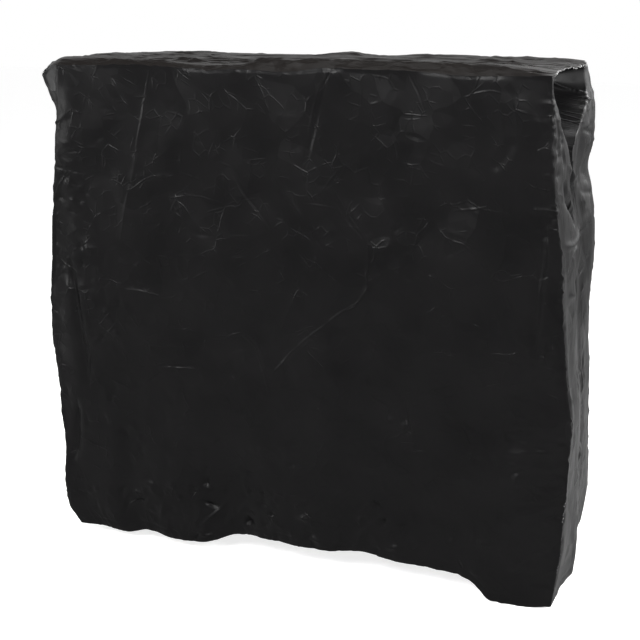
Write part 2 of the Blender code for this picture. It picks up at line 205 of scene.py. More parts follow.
# Upright folds: where each lies, its half-width, and how far it stands out half-way down and at
# the hem.
Fold = namedtuple("Fold", "across spread middle hem")
FRONT_FOLDS = [
    Fold(0.20, 0.09, 0.004, 0.010), Fold(0.37, 0.07, -0.004, -0.010),
    Fold(0.55, 0.10, 0.006, 0.006), Fold(0.73, 0.06, -0.006, -0.008),
    Fold(0.86, 0.07, 0.004, 0.010),
]


def ease(x):
    """Rise smoothly from 0 to 1 as x does."""
    x = np.clip(x, 0.0, 1.0)
    return x * x * (3 - 2 * x)


def smooth(places, values, at):
    """Read values between places, on a smooth curve that never overshoots them."""
    places, values = np.asarray(places, float), np.asarray(values, float)
    steps = np.diff(values) / np.diff(places)
    before, after = steps[:-1], steps[1:]
    level = before * after <= 0
    slopes = 2 * before * after / np.where(level, 1.0, before + after)
    slopes = np.concatenate([steps[:1], np.where(level, 0.0, slopes), steps[-1:]])
    at = np.clip(at, places[0], places[-1])
    i = np.clip(np.searchsorted(places, at, side="right") - 1, 0, len(steps) - 1)
    width = places[i + 1] - places[i]
    t = (at - places[i]) / width
    return (values[i] * (1 - t) ** 2 * (1 + 2 * t) + values[i + 1] * t * t * (3 - 2 * t)
            + width * t * (1 - t) * (slopes[i] * (1 - t) - slopes[i + 1] * t))


def read(table, column, at):
    """Read a named column between a table's rows."""
    return smooth([row[0] for row in table], [getattr(row, column) for row in table], at)


def seam_point(seam, depth):
    """Plan position of a corner seam at each depth below the top."""
    back = read(SEAMS, "fall_back", depth)
    if seam == "front_left":
        back = back + EAR_BACK * np.maximum(0, 1 - depth / EAR)
    y = FRONT_Y + back if seam.startswith("front") else BACK_Y - back
    return np.stack([read(SEAMS, seam, depth), y, np.zeros_like(y)], axis=-1)


def flatness(across):
    """1 over the flat of a wall, falling to 0 at its two seams."""
    return ease(across / EDGE_ROLL) * ease((1 - across) / EDGE_ROLL)


# A wall runs from its first seam to its last; width is its spread as it hangs, and flat is the
# size it was cut to.
Wall = namedtuple("Wall", "first_seam last_seam outward edge hem folds tuck width flat")
FRONT = Wall("front_left", "front_right", (0, -1, 0), FRONT_EDGE, FRONT_HEM, FRONT_FOLDS, None,
             1.74, (1.78, 1.66))


def wall_shape(wall, across, depth):
    """The wall's broad shape, sharp at its edges, for arrays of places across and down it."""
    low = ease((depth - HEM_REACH) / (HEIGHT - HEM_REACH))
    out = read(wall.hem, "out", across) * low
    for fold in wall.folds:
        height = fold.middle * ease(depth / (HEIGHT / 2)) * (1 - low) + fold.hem * low
        out = out + height * (1 - ease(abs(across - fold.across) / fold.spread))
    out = out * flatness(across)
    if wall.tuck:
        near, gully, far = (read(wall.tuck, place, depth) for place in ("near", "gully", "far"))
        lip = np.where(across < gully, near, far)
        inside = np.clip((across - lip) / (gully - lip), 0.0, 1.0)
        out = out - read(wall.tuck, "push", depth) * np.sin(inside * np.pi / 2)
    else:
        out = out + read(SEAMS, "fall_back", depth) * flatness(across)
    if wall.first_seam == "front_left":
        # Only the folded corner goes back with its seam. The rest of the wall stays flat.
        ear = np.maximum(1e-6, 1 - depth / EAR)
        folded = np.maximum(0, 1 - across / (EAR_SHARE * ear))
        out = out + EAR_BACK * ear * (1 - across - folded)
    drop = read(wall.hem, "depth", across) - HEIGHT
    rise = read(wall.edge, "rise", across) * np.maximum(0.0, 1 - depth / TOP_REACH)
    share = across[..., None]
    points = seam_point(wall.first_seam, depth) * (1 - share)
    points += seam_point(wall.last_seam, depth) * share
    points += np.array(wall.outward) * out[..., None]
    points[..., 2] = rise - depth - drop * low
    return points


CROWN_REACH = 0.05        # how far from the front the top edge has become round
CORNER_RADIUS = 0.008     # how round the cloth is over each sewn edge


def nearness(away):
    """1 at a sewn edge, falling to 0 where its rounding ends."""
    return np.clip(1 - away / CORNER_RADIUS, 0, 1)


def crown(from_front):
    """How round the top edge is beside the front, whose own top edge is left sharp."""
    return ease(from_front / CROWN_REACH)


def rounded(near_side, near_top, outward, sideways):
    """How far to move a point so that its sharp sewn edges become round, from how near it is to its
    side seam and to its top edge (0 to 1 at the edge) and the way each neighbour faces."""
    side, top = np.tan(near_side * np.pi / 4), np.tan(near_top * np.pi / 4)
    length = np.sqrt(1 + side ** 2 + top ** 2)
    return CORNER_RADIUS * ((1 / length - 1)[..., None] * np.array(outward)
                            + (side / length - near_side)[..., None] * sideways[0]
                            + (top / length - near_top)[..., None] * np.array(sideways[1]))


# Short puckers that the sewing drew up along each seam, the same on both panels of a seam: how
# many, how long they are, how hard they pull, how far they reach from the seam, and how high the
# seam itself stands in a roll.
Puckers = namedtuple("Puckers", "count shortest longest pull reach roll seed")
SEAM_PUCKERS = {
    "front_right": Puckers(90, 0.005, 0.017, 0.0018, 0.030, 0.000, 11),
    "front_left": Puckers(80, 0.006, 0.022, 0.0013, 0.026, 0.000, 12),
    "back_right": Puckers(70, 0.006, 0.022, 0.0012, 0.028, 0.000, 13),
    "back_left": Puckers(70, 0.006, 0.022, 0.0016, 0.028, 0.000, 14),
    "front_top": Puckers(90, 0.008, 0.030, 0.0010, 0.016, 0.000, 15),
    "back_top": Puckers(70, 0.010, 0.040, 0.0014, 0.018, 0.003, 16),
    "right_top": Puckers(30, 0.008, 0.026, 0.0022, 0.018, 0.008, 17),
    "left_top": Puckers(30, 0.008, 0.026, 0.0020, 0.018, 0.004, 18),
}
PUCKER_FADE = 0.03        # over this much of a seam the puckers die away towards each corner
ROLL_END = 0.05           # the roll rises over this much at each end of a seam
ROLL_WIDTH = 0.018        # and this is its half-width
OUT = {"front": (0, -1, 0), "back": (0, 1, 0), "left": (-1, 0, 0), "right": (1, 0, 0),
       "top": (0, 0, 1)}


def bump(x):
    """A smooth bump, 1 at 0 and gone beyond -1 and 1."""
    return np.clip(1 - x * x, 0.0, 1.0) ** 2


def puckered(points, seam, at, away, length):
    """Draw the cloth out of line beside a seam; at runs along the seam and away from it."""
    rule = SEAM_PUCKERS[seam]
    rng = np.random.default_rng(rule.seed)
    faces = np.array([OUT[face] for face in seam.split("_")], float)
    for _ in range(rule.count):
        middle = rng.uniform(0.0, length)
        half = rng.uniform(rule.shortest, rule.longest)
        pull = rng.normal(0.0, rule.pull, 2) @ faces
        reach = rule.reach * rng.uniform(0.3, 1.5)
        lean = rng.normal(0.0, 0.5)
        pull = pull * np.clip((min(middle, length - middle) - half) / PUCKER_FADE, 0, 1)
        near = (away < reach * 3) & (abs(at - middle) < half * 2 + reach * 3 * abs(lean))
        shape = bump((at[near] - middle - lean * away[near]) / (half + 0.2 * away[near]))
        points[near] += (shape * np.exp(-(away[near] / reach) ** 1.5))[:, None] * pull
    ends = ease(np.minimum(at, length - at) / ROLL_END)
    points += (rule.roll * ends * np.exp(-(away / ROLL_WIDTH) ** 2))[..., None] * faces[0]


# A crease's height, half-width, sharpness (1 a sharp fold, 2 a soft one) and route.
Crease = namedtuple("Crease", "height spread crisp route")
ROUTE_STEPS = 14          # straight stretches that a crease's smooth route is walked in


def creased(a, b, crease, taper=0.22):
    """Height of one crease, up to 1, at the places (a, b). Each end dies away over the share taper
    of its length."""
    route = np.array(crease.route, float)
    along = np.concatenate([[0], np.cumsum(np.hypot(*np.diff(route, axis=0).T))])
    share = np.linspace(0, along[-1], ROUTE_STEPS + 1)
    line = np.stack([smooth(along, route[:, k], share) for k in (0, 1)], axis=-1)
    reach = crease.spread * 3.2
    low, high = line.min(0) - reach, line.max(0) + reach
    close = (a > low[0]) & (a < high[0]) & (b > low[1]) & (b < high[1])
    height = np.zeros_like(a)
    if not close.any():
        return height
    place = np.stack([a[close], b[close]], axis=-1)[:, None]
    start, run = line[:-1], np.diff(line, axis=0)
    t = np.clip(((place - start) * run).sum(-1) / (run ** 2).sum(-1), 0, 1)
    away = np.linalg.norm(place - start - t[..., None] * run, axis=-1)
    nearest = away.argmin(axis=1)
    pick = np.arange(len(nearest))
    along = (nearest + t[pick, nearest]) / ROUTE_STEPS
    profile = np.exp(-(away[pick, nearest] / crease.spread) ** crease.crisp)
    height[close] = profile * ease(along / taper) * ease((1 - along) / taper)
    return height


# Small creases strewn over an oval zone: its middle and half-size, how many there are, how long,
# high and wide they are, and the way they mostly run, with how far they stray from it, in degrees.
Crumple = namedtuple("Crumple", "a b half_a half_b count length height spread turn stray seed")


def crumpled(a, b, zone):
    """Height of the small creases of one zone at the places (a, b)."""
    rng = np.random.default_rng(zone.seed)
    height = np.zeros_like(a)
    for _ in range(zone.count):
        away, turn = math.sqrt(rng.random()), rng.uniform(0, 2 * np.pi)
        middle = np.array([zone.a + zone.half_a * away * math.cos(turn),
                           zone.b + zone.half_b * away * math.sin(turn)])
        angle = math.radians(zone.turn + rng.normal(0, zone.stray))
        half = zone.length * rng.uniform(0.3, 0.9)
        along = np.array([math.cos(angle), math.sin(angle)]) * half
        bow = np.array([-along[1], along[0]]) * rng.normal(0, 0.18)
        rise = zone.height * rng.normal(0, 1) * (1 - 0.5 * away)
        spread = zone.spread * rng.uniform(0.6, 1.5)
        crease = Crease(rise, spread, 1.15, [middle - along, middle + bow, middle + along])
        height += rise * creased(a, b, crease, 0.5)
    return height


Billows = namedtuple("Billows", "size height seed")
WAVES = 28                # waves that are laid over each other to make them uneven


def billowed(a, b, billows):
    """Gentle uneven swellings of about the given size and height."""
    rng = np.random.default_rng(billows.seed)
    height = np.zeros_like(a)
    for _ in range(WAVES):
        turn, phase = rng.uniform(0, 2 * np.pi, 2)
        wave = 2 * np.pi / (billows.size * rng.uniform(0.7, 2.2))
        height += np.sin(wave * (a * math.cos(turn) + b * math.sin(turn)) + phase)
    return billows.height * height / math.sqrt(WAVES / 2)


Step = namedtuple("Step", "place step")


def spaced(table, length):
    """Places from 0 to length, as far apart as the table says along the way."""
    fine = np.linspace(0.0, length, 6001)
    density = 1 / np.interp(fine, [row.place for row in table], [row.step for row in table])
    count = np.concatenate([[0], np.cumsum((density[1:] + density[:-1]) / 2 * np.diff(fine))])
    return np.interp(np.linspace(0, count[-1], round(count[-1]) + 1), count, fine)


def panel_object(name, points, flat_u, flat_v, outwards):
    """Lay a grid of cloth on the points, facing outwards, with its flat places in metres as its UV
    map. Outwards tells whether the grid faces that way as it is laid."""
    rows, columns = points.shape[:2]
    cloth = bmesh.new()
    bmesh.ops.create_grid(cloth, x_segments=columns - 1, y_segments=rows - 1, size=0.5)
    mesh = bpy.data.meshes.new(name)
    cloth.to_mesh(mesh)
    cloth.free()
    grid = np.empty(len(mesh.vertices) * 3)
    mesh.vertices.foreach_get("co", grid)
    grid = grid.reshape(-1, 3)
    i = np.rint((grid[:, 0] + 0.5) * (columns - 1)).astype(int)
    j = np.rint((grid[:, 1] + 0.5) * (rows - 1)).astype(int)
    mesh.vertices.foreach_set("co", points[j, i].ravel())
    if not outwards:
        mesh.flip_normals()
    corners = np.empty(len(mesh.loops), dtype=int)
    mesh.loops.foreach_get("vertex_index", corners)
    places = np.stack([flat_u[j, i], flat_v[j, i]], axis=-1)[corners]
    mesh.uv_layers.new(name="cloth").data.foreach_set("uv", places.ravel())
    mesh.shade_smooth()
    mesh.update()
    panel = bpy.data.objects.new(name, mesh)
    scene.collection.objects.link(panel)
    return panel


class Finish:
    """One socket of a material's nodes. Arithmetic on it adds Math nodes."""

    def __init__(self, tree, socket=None):
        self.tree = tree
        self.socket = socket

    def node(self, kind, settings, sockets, output=0):
        """Add a node: its type, its settings, the values or links of its inputs, and the output
        that is wanted, or None for all of them."""
        made = self.tree.nodes.new("ShaderNode" + kind)
        for setting, value in settings.items():
            setattr(made, setting, value)
        for name, value in sockets.items():
            if isinstance(value, Finish):
                self.tree.links.new(value.socket, made.inputs[name])
            else:
                made.inputs[name].default_value = value
        if output is None:
            return {socket.name: Finish(self.tree, socket) for socket in made.outputs}
        return Finish(self.tree, made.outputs[output])

    def math(self, operation, other):
        return self.node("Math", {"operation": operation}, {0: self, 1: other})

    def __add__(self, other):
        return self.math("ADD", other)

    def __mul__(self, other):
        return self.math("MULTIPLY", other)

    __radd__ = __add__
    __rmul__ = __mul__


# The flat facets of crinkled cloth: how many there are to a metre, and how strongly each size tells.
FACETS = ((9.0, 1.0), (24.0, 0.6))
GRAIN_SCALE, GRAIN_HEIGHT = 240.0, 0.0001
RIDGE_WIDTH = 0.004       # half-width of the ridges between facets
PATCHES = (0.5, 0.6)      # the ridges come up in patches, where uneven noise is between these
WANDER = 0.10             # how far the facets' edges are bent out of line
WOBBLE = 0.03             # and the crinkles' routes
RUN_SHARE = 0.62          # half-length of a stretch of crinkle, as a share of its run


def cloth_finish(name, plane, dark, light, gloss, rough, stretch, lean, rise, crinkles=()):
    """Thin proofed polyester: near black, a soft gloss, small facets and fine sharp crinkles.

    Facets lean by up to lean and meet in ridges of height rise. The crinkles run over the plane of
    the two named axes, each stretch of them a thin ridge."""
    material = bpy.data.materials.new(name)
    material.use_nodes = True
    tree = material.node_tree
    shader = tree.nodes["Principled BSDF"]
    shader.inputs["Specular IOR Level"].default_value = gloss
    made = Finish(tree)
    flat = made.node("UVMap", {"uv_map": "cloth"}, {})
    place = made.node("SeparateXYZ", {}, {"Vector": made.node("TexCoord", {}, {}, "Object")}, None)
    place = made.node("CombineXYZ", {}, {"X": place[plane[0]], "Y": place[plane[1]]})
    tilt = made.node("TexCoord", {}, {}, "Normal")
    wander = made.node("TexNoise", {}, {"Vector": flat, "Scale": 5.0, "Detail": 2.0}, "Color")
    bent = made.node("VectorMath", {"operation": "MULTIPLY_ADD"},
                     {0: wander, 1: (WANDER, WANDER, 0.0), 2: flat})
    drawn = made.node("VectorMath", {"operation": "MULTIPLY"}, {0: bent, 1: stretch})
    cloudy = made.node("TexNoise", {}, {"Vector": flat, "Scale": 6.0, "Detail": 4.0})
    patchy = made.node("TexNoise", {}, {"Vector": flat, "Scale": 15.0, "Detail": 1.0})
    grain = made.node("TexNoise", {}, {"Vector": flat, "Scale": GRAIN_SCALE, "Detail": 2.0})
    height = grain * GRAIN_HEIGHT
    for size, share in FACETS:
        layout = {"voronoi_dimensions": "2D"}
        sockets = {"Vector": drawn, "Scale": size, "Randomness": 1.0}
        facet = made.node("TexVoronoi", layout, sockets, "Color")
        facet = made.node("VectorMath", {"operation": "SUBTRACT"}, {0: facet, 1: (0.5, 0.5, 0.5)})
        tilt = made.node("VectorMath", {"operation": "MULTIPLY_ADD"},
                         {0: facet, 1: (lean * share,) * 3, 2: tilt})
        edge = made.node("TexVoronoi", {**layout, "feature": "DISTANCE_TO_EDGE"}, sockets)
        ridge = made.node("MapRange", {}, {
            "Value": edge, "From Min": 0.0, "From Max": RIDGE_WIDTH * size,
            "To Min": rise * share, "To Max": 0.0})
        height = height + ridge * made.node("MapRange", {}, {
            "Value": patchy, "From Min": PATCHES[0], "From Max": PATCHES[1],
            "To Min": 0.0, "To Max": 1.0})
    routes = made.node("VectorMath", {"operation": "MULTIPLY_ADD"},
                       {0: wander, 1: (WOBBLE, WOBBLE, 0.0), 2: place})
    routes = made.node("VectorMath", {"operation": "SUBTRACT"},
                       {0: routes, 1: (WOBBLE / 2, WOBBLE / 2, 0.0)})
    for crinkle in crinkles:
        for start, end in zip(crinkle.route, crinkle.route[1:]):
            run = Vector(end) - Vector(start)
            middle = (Vector(end) + Vector(start)) / 2
            local = made.node("Mapping", {"vector_type": "TEXTURE"}, {
                "Vector": routes, "Location": (*middle, 0.0),
                "Rotation": (0.0, 0.0, math.atan2(run.y, run.x)),
                "Scale": (run.length * RUN_SHARE, crinkle.spread, 1.0)})
            profile = made.node("TexGradient", {"gradient_type": "SPHERICAL"}, {"Vector": local},
                                "Fac")
            height = made.node("Math", {"operation": "MULTIPLY_ADD"},
                               {0: profile, 1: crinkle.height, 2: height})
    facets = made.node("VectorMath", {"operation": "NORMALIZE"}, {0: tilt})
    shade = made.node("Bump", {}, {"Height": height, "Strength": 0.8, "Distance": 1.0,
                                   "Normal": facets})
    colour = made.node("Mix", {"data_type": "RGBA"}, {0: cloudy, 6: dark, 7: light}, 2)
    tree.links.new(colour.socket, shader.inputs["Base Color"])
    tree.links.new((cloudy * 0.2 + (rough - 0.1)).socket, shader.inputs["Roughness"])
    tree.links.new(shade.socket, shader.inputs["Normal"])
    return material


# On the front a crease's route is over (x, z).
FRONT_CREASES = [
    Crease(0.004, 0.03, 2.0, [(-0.775, -0.04), (-0.77, -0.28)]),
    Crease(-0.0014, 0.02, 2.0, [(0.56, -0.04), (0.72, -0.05)]),
    Crease(0.0018, 0.008, 1.2, [(-0.468, -0.02), (-0.531, -0.293), (-0.608, -0.582)]),
    Crease(-0.0024, 0.008, 1.2, [(0.123, -0.01), (0.101, -0.115), (0.049, -0.265), (0.035, -0.346)]),
    Crease(0.0026, 0.009, 1.2, [(-0.037, -0.334), (0.094, -0.53)]),
    Crease(0.0026, 0.009, 1.2, [(0.149, -0.361), (0.253, -0.518), (0.249, -0.725)]),
    Crease(0.0033, 0.008, 1.2, [(0.203, -0.729), (0.261, -0.647)]),
    Crease(0.0036, 0.009, 1.2, [(-0.083, -0.993), (0.08, -0.837)]),
    Crease(0.0033, 0.008, 1.2, [(-0.24, -0.869), (-0.158, -0.847), (-0.103, -0.91), (-0.083, -1.007)]),
    Crease(0.003, 0.006, 1.2, [(-0.228, -0.989), (-0.2, -1.007), (-0.167, -0.975)]),
    Crease(0.0033, 0.007, 1.2, [(-0.601, -0.735), (-0.478, -0.738)]),
    Crease(0.0033, 0.007, 1.2, [(-0.501, -0.917), (-0.363, -0.896)]),
    Crease(0.0033, 0.007, 1.2, [(-0.482, -1.0), (-0.344, -0.985)]),
    Crease(0.003, 0.007, 1.2, [(-0.545, -1.061), (-0.482, -1.007)]),
    Crease(-0.006, 0.016, 2.0, [(0.69, -0.17), (0.665, -0.225), (0.627, -0.277)]),
    Crease(-0.006, 0.014, 1.6, [(0.373, -0.981), (0.396, -1.143)]),
    Crease(-0.006, 0.014, 1.6, [(-0.311, -1.325), (-0.321, -1.419)]),
    Crease(-0.0105, 0.014, 1.6, [(-0.805, -0.6), (-0.775, -0.9), (-0.754, -1.115)]),
    Crease(-0.0105, 0.014, 1.6, [(-0.8, -1.14), (-0.815, -1.25), (-0.83, -1.4)]),
    Crease(0.0075, 0.008, 1.1, [(0.796, -0.43), (0.79, -0.62), (0.787, -0.79)]),
    Crease(0.0039, 0.01, 1.4, [(0.696, -0.994), (0.703, -1.141)]),
    Crease(0.004, 0.012, 1.4, [(-0.34, -1.562), (-0.24, -1.459)]),
    Crease(0.005, 0.008, 1.2, [(0.74, -0.381), (0.8, -0.381), (0.85, -0.384)]),
    Crease(-0.005, 0.007, 1.2, [(0.817, -0.389), (0.834, -0.431)]),
]
FRONT_CRUMPLES = [
    Crumple(-0.55, -0.30, 0.34, 0.24, 90, 0.055, 0.0017, 0.008, 25, 45, 1),
    Crumple(-0.10, -0.35, 0.45, 0.28, 80, 0.070, 0.0013, 0.009, 60, 60, 2),
    Crumple(0.45, -0.35, 0.40, 0.28, 70, 0.070, 0.0012, 0.009, 90, 60, 3),
    Crumple(-0.80, -0.45, 0.10, 0.35, 90, 0.045, 0.0030, 0.008, 0, 50, 4),
    Crumple(-0.72, -0.95, 0.18, 0.45, 110, 0.060, 0.0034, 0.009, 80, 45, 5),
    Crumple(-0.25, -0.85, 0.45, 0.35, 170, 0.065, 0.0024, 0.008, 30, 60, 6),
    Crumple(0.40, -0.85, 0.45, 0.40, 150, 0.070, 0.0028, 0.009, 80, 60, 7),
    Crumple(0.80, -1.20, 0.12, 0.42, 190, 0.080, 0.0028, 0.007, 5, 22, 8),
    Crumple(0.00, -1.50, 0.85, 0.12, 260, 0.050, 0.0070, 0.008, 60, 60, 9),
    Crumple(0.80, -0.32, 0.06, 0.26, 60, 0.050, 0.0029, 0.008, 45, 40, 10),
    Crumple(0.00, -1.20, 0.85, 0.25, 220, 0.060, 0.0034, 0.009, 60, 60, 19),
]
FRONT_BILLOWS = [Billows(0.34, 0.0026, 21), Billows(0.12, 0.0005, 22)]
# How far apart the mesh's rows and columns are along the way down and across.
LONG_ROWS = [Step(0.0, 0.0022), Step(0.03, 0.0048), Step(0.6, 0.0052), Step(0.8, 0.006),
             Step(1.45, 0.006), Step(1.58, 0.0042), Step(1.61, 0.0032)]
LONG_COLUMNS = [Step(0.0, 0.0025), Step(0.10, 0.0052), Step(0.2, 0.0058), Step(1.50, 0.0058),
                Step(1.64, 0.0050), Step(1.74, 0.0025)]
SEAM_WINDOW = 0.020       # over this much beside a side seam the creases die away
TOP_WINDOW = 0.012        # and over this much below the top seam
HEM_DEPTH = 0.028         # how far the hem is turned up inside
HEM_GAP = 0.0016          # and how thick it makes the edge
HEM_PUCKERS = 40          # puckers drawn up by the hem's stitching, to a metre
HEM_PULL = 0.0016         # how far they stand out
HEM_HALF = (0.006, 0.022)     # half their width, least and most
HEM_CLIMB = (0.02, 0.08)      # how far up the wall they reach
STITCH_SINK = 0.0012      # how deep the hem's stitching sinks in
STITCH_WIDTH = 0.0035     # and how wide


def add_wall(wall, name, node, columns, rows, creases, crumples, billows, finish):
    """Shape a wall panel, add its creases square to it, round and pucker its seams, and turn up
    its hem."""
    columns = spaced(columns, wall.width) / wall.width
    down = spaced(rows, HEIGHT)
    across, depth = np.meshgrid(columns, down)
    if wall.tuck:
        # The columns follow the tuck's lips down the wall, so that its folds stay sharp.
        stops = np.array([0.0, *LIPS_AT_TOP, 1.0])
        lips = np.stack([read(wall.tuck, place, down) for place in ("near", "gully", "far")])
        across = np.array([np.interp(columns, stops, [0, *lips[:, k], 1]) for k in range(len(down))])
    points = wall_shape(wall, across, depth)
    facing = np.cross(*np.gradient(points, axis=(0, 1)))
    facing /= np.linalg.norm(facing, axis=-1, keepdims=True)
    a = points[..., 0] if wall.outward[1] else points[..., 1]
    b = points[..., 2].copy()
    height = sum(crease.height * creased(a, b, crease) for crease in creases)
    height = height + sum(crumpled(a, b, zone) for zone in crumples)
    height = height + sum(billowed(a, b, swell) for swell in billows)
    from_first, from_last = across * wall.width, (1 - across) * wall.width
    height = height * ease(np.minimum(from_first, from_last) / SEAM_WINDOW)
    height = height * ease(depth / TOP_WINDOW)
    above_hem = HEIGHT - depth
    rng = np.random.default_rng(len(name))
    for _ in range(int(wall.width * HEM_PUCKERS)):
        middle, half = rng.uniform(0.02, wall.width - 0.02), rng.uniform(*HEM_HALF)
        lift, climb = rng.normal(0, HEM_PULL), rng.uniform(*HEM_CLIMB)
        height += lift * bump((from_first - middle) / half) * np.exp(-above_hem / climb)
    height -= STITCH_SINK * np.exp(-((above_hem - HEM_DEPTH) / STITCH_WIDTH) ** 2)
    points += facing * height[..., None]
    near_first, near_last = nearness(from_first), nearness(from_last)
    near_top = nearness(depth) * crown(points[..., 1] - FRONT_Y)
    side = 1 if wall.outward[1] else 0
    first_out, last_out = (OUT[seam.split("_")[side]] for seam in (wall.first_seam, wall.last_seam))
    points += np.where((near_first > 0)[..., None],
                       rounded(near_first, near_top, wall.outward, (first_out, OUT["top"])),
                       rounded(near_last, near_top, wall.outward, (last_out, OUT["top"])))
    puckered(points, wall.first_seam, depth, from_first, HEIGHT)
    puckered(points, wall.last_seam, depth, from_last, HEIGHT)
    face = wall.first_seam.split("_")[1 - side]
    along = from_first if face in ("front", "right") else from_last
    puckered(points, face + "_top", along, depth, wall.width)
    turned = above_hem[:, 0] < HEM_DEPTH
    inner = (points[turned] - facing[turned] * HEM_GAP)[::-1]
    points = np.concatenate([points, inner])
    flat_v = np.concatenate([depth, (2 * HEIGHT - depth[turned])[::-1]])
    flat_u = np.concatenate([across, across[turned][::-1]]) * wall.width
    panel = panel_object(name, points, flat_u, flat_v, False)
    panel.data.materials.append(finish)
    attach(panel, "root")
    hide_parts(node)


# The finest creases are too narrow for the mesh, so the cloth's finish draws them: each one's
# height, half-width and route.
Crinkle = namedtuple("Crinkle", "height spread route")
FRONT_CRINKLES = [
    Crinkle(0.0016, 0.006, [(-0.475, -0.011), (-0.535, -0.288)]),
    Crinkle(0.0014, 0.006, [(-0.566, -0.407), (-0.604, -0.57)]),
    Crinkle(0.0012, 0.005, [(-0.366, -0.251), (-0.379, -0.331), (-0.313, -0.353)]),
    Crinkle(0.0012, 0.005, [(-0.361, -0.401), (-0.225, -0.425)]),
    Crinkle(0.0012, 0.005, [(-0.282, -0.458), (-0.225, -0.438)]),
    Crinkle(0.0012, 0.005, [(-0.239, -0.289), (-0.198, -0.306)]),
    Crinkle(-0.002, 0.008, [(-0.834, -0.335), (-0.733, -0.347)]),
    Crinkle(-0.0016, 0.007, [(-0.778, -0.28), (-0.729, -0.277)]),
    Crinkle(-0.0024, 0.009, [(0.12, -0.035), (0.046, -0.294)]),
    Crinkle(0.0016, 0.006, [(0.101, -0.038), (0.053, -0.22)]),
    Crinkle(0.0018, 0.006, [(0.105, 0.003), (0.133, -0.055)]),
    Crinkle(-0.0018, 0.006, [(0.133, 0.004), (0.108, -0.05)]),
    Crinkle(0.001, 0.004, [(0.233, 0.0), (0.222, -0.153)]),
    Crinkle(-0.0014, 0.006, [(0.364, 0.003), (0.423, -0.104)]),
    Crinkle(0.0014, 0.006, [(0.046, -0.399), (0.15, -0.412)]),
    Crinkle(-0.0019, 0.009, [(0.153, -0.396), (0.241, -0.502)]),
    Crinkle(-0.0019, 0.009, [(0.029, -0.435), (0.111, -0.543)]),
    Crinkle(-0.0017, 0.009, [(-0.185, -0.34), (-0.062, -0.498)]),
    Crinkle(0.0013, 0.006, [(0.169, -0.287), (0.108, -0.355)]),
    Crinkle(0.0012, 0.005, [(-0.207, -0.528), (-0.144, -0.523)]),
    Crinkle(-0.0012, 0.005, [(0.653, -0.099), (0.662, -0.187)]),
    Crinkle(-0.002, 0.012, [(0.374, -0.173), (0.426, -0.186)]),
    Crinkle(0.0015, 0.006, [(0.526, -0.4), (0.621, -0.379)]),
    Crinkle(0.0022, 0.008, [(0.758, -0.382), (0.827, -0.381)]),
    Crinkle(-0.0016, 0.006, [(0.539, 0.002), (0.557, -0.012)]),
    Crinkle(-0.0033, 0.008, [(-0.811, -0.657), (-0.748, -0.935), (-0.746, -1.099)]),
    Crinkle(-0.0027, 0.007, [(-0.801, -1.15), (-0.813, -1.272)]),
    Crinkle(0.0027, 0.006, [(-0.869, -0.651), (-0.775, -0.696)]),
    Crinkle(0.0018, 0.005, [(-0.613, -0.728), (-0.442, -0.744)]),
    Crinkle(0.0019, 0.005, [(-0.521, -0.922), (-0.353, -0.905)]),
    Crinkle(0.0019, 0.005, [(-0.479, -0.992), (-0.341, -0.988)]),
    Crinkle(0.0015, 0.005, [(-0.535, -1.056), (-0.479, -1.007)]),
    Crinkle(0.0018, 0.005, [(-0.342, -0.671), (-0.287, -0.643)]),
    Crinkle(0.0015, 0.005, [(-0.217, -0.66), (-0.189, -0.685)]),
    Crinkle(0.0015, 0.005, [(-0.247, -0.876), (-0.182, -0.849)]),
    Crinkle(0.0018, 0.006, [(-0.68, -0.907), (-0.619, -0.837), (-0.591, -0.89)]),
    Crinkle(0.0014, 0.006, [(-0.677, -1.058), (-0.556, -1.102)]),
    Crinkle(0.0023, 0.006, [(-0.214, -0.859), (-0.175, -0.849), (-0.126, -0.888),
                            (-0.069, -1.065)]),
    Crinkle(0.0025, 0.006, [(-0.071, -0.978), (-0.001, -0.888), (0.243, -0.686)]),
    Crinkle(0.003, 0.005, [(0.181, -0.744), (0.214, -0.718)]),
    Crinkle(0.0012, 0.005, [(0.132, -0.901), (0.202, -0.801)]),
    Crinkle(0.0015, 0.004, [(-0.214, -0.998), (-0.196, -1.01), (-0.153, -0.98)]),
    Crinkle(0.0018, 0.005, [(0.035, -0.568), (0.072, -0.617)]),
    Crinkle(0.0019, 0.008, [(-0.053, -0.601), (-0.012, -0.608)]),
    Crinkle(0.0015, 0.005, [(-0.167, -0.783), (-0.118, -0.789)]),
    Crinkle(-0.0039, 0.008, [(0.369, -0.988), (0.398, -1.143)]),
    Crinkle(-0.003, 0.007, [(0.398, -1.432), (0.375, -1.479)]),
    Crinkle(-0.0045, 0.006, [(0.573, -1.524), (0.59, -1.553)]),
    Crinkle(-0.0019, 0.004, [(0.691, -1.038), (0.695, -1.133)]),
    Crinkle(-0.0015, 0.008, [(0.695, -1.197), (0.705, -1.424)]),
    Crinkle(0.0014, 0.006, [(-0.037, -0.334), (0.094, -0.53)]),
    Crinkle(0.0014, 0.006, [(0.149, -0.361), (0.253, -0.518), (0.249, -0.725)]),
    Crinkle(0.0018, 0.006, [(0.203, -0.729), (0.261, -0.647)]),
    Crinkle(0.0036, 0.007, [(0.796, -0.43), (0.787, -0.79)]),
    Crinkle(0.0015, 0.008, [(0.696, -0.994), (0.703, -1.141)]),
    Crinkle(0.0036, 0.008, [(-0.34, -1.562), (-0.24, -1.459)]),
]
CLOTH_DARK, CLOTH_LIGHT = (0.0016, 0.0016, 0.0017, 1), (0.0044, 0.0042, 0.0044, 1)
front_finish = cloth_finish("front_black_cloth", "XZ", CLOTH_DARK, CLOTH_LIGHT, gloss=0.07,
                            rough=0.39, stretch=(1.0, 1.0, 1.0), lean=0.13, rise=0.0012,
                            crinkles=FRONT_CRINKLES)
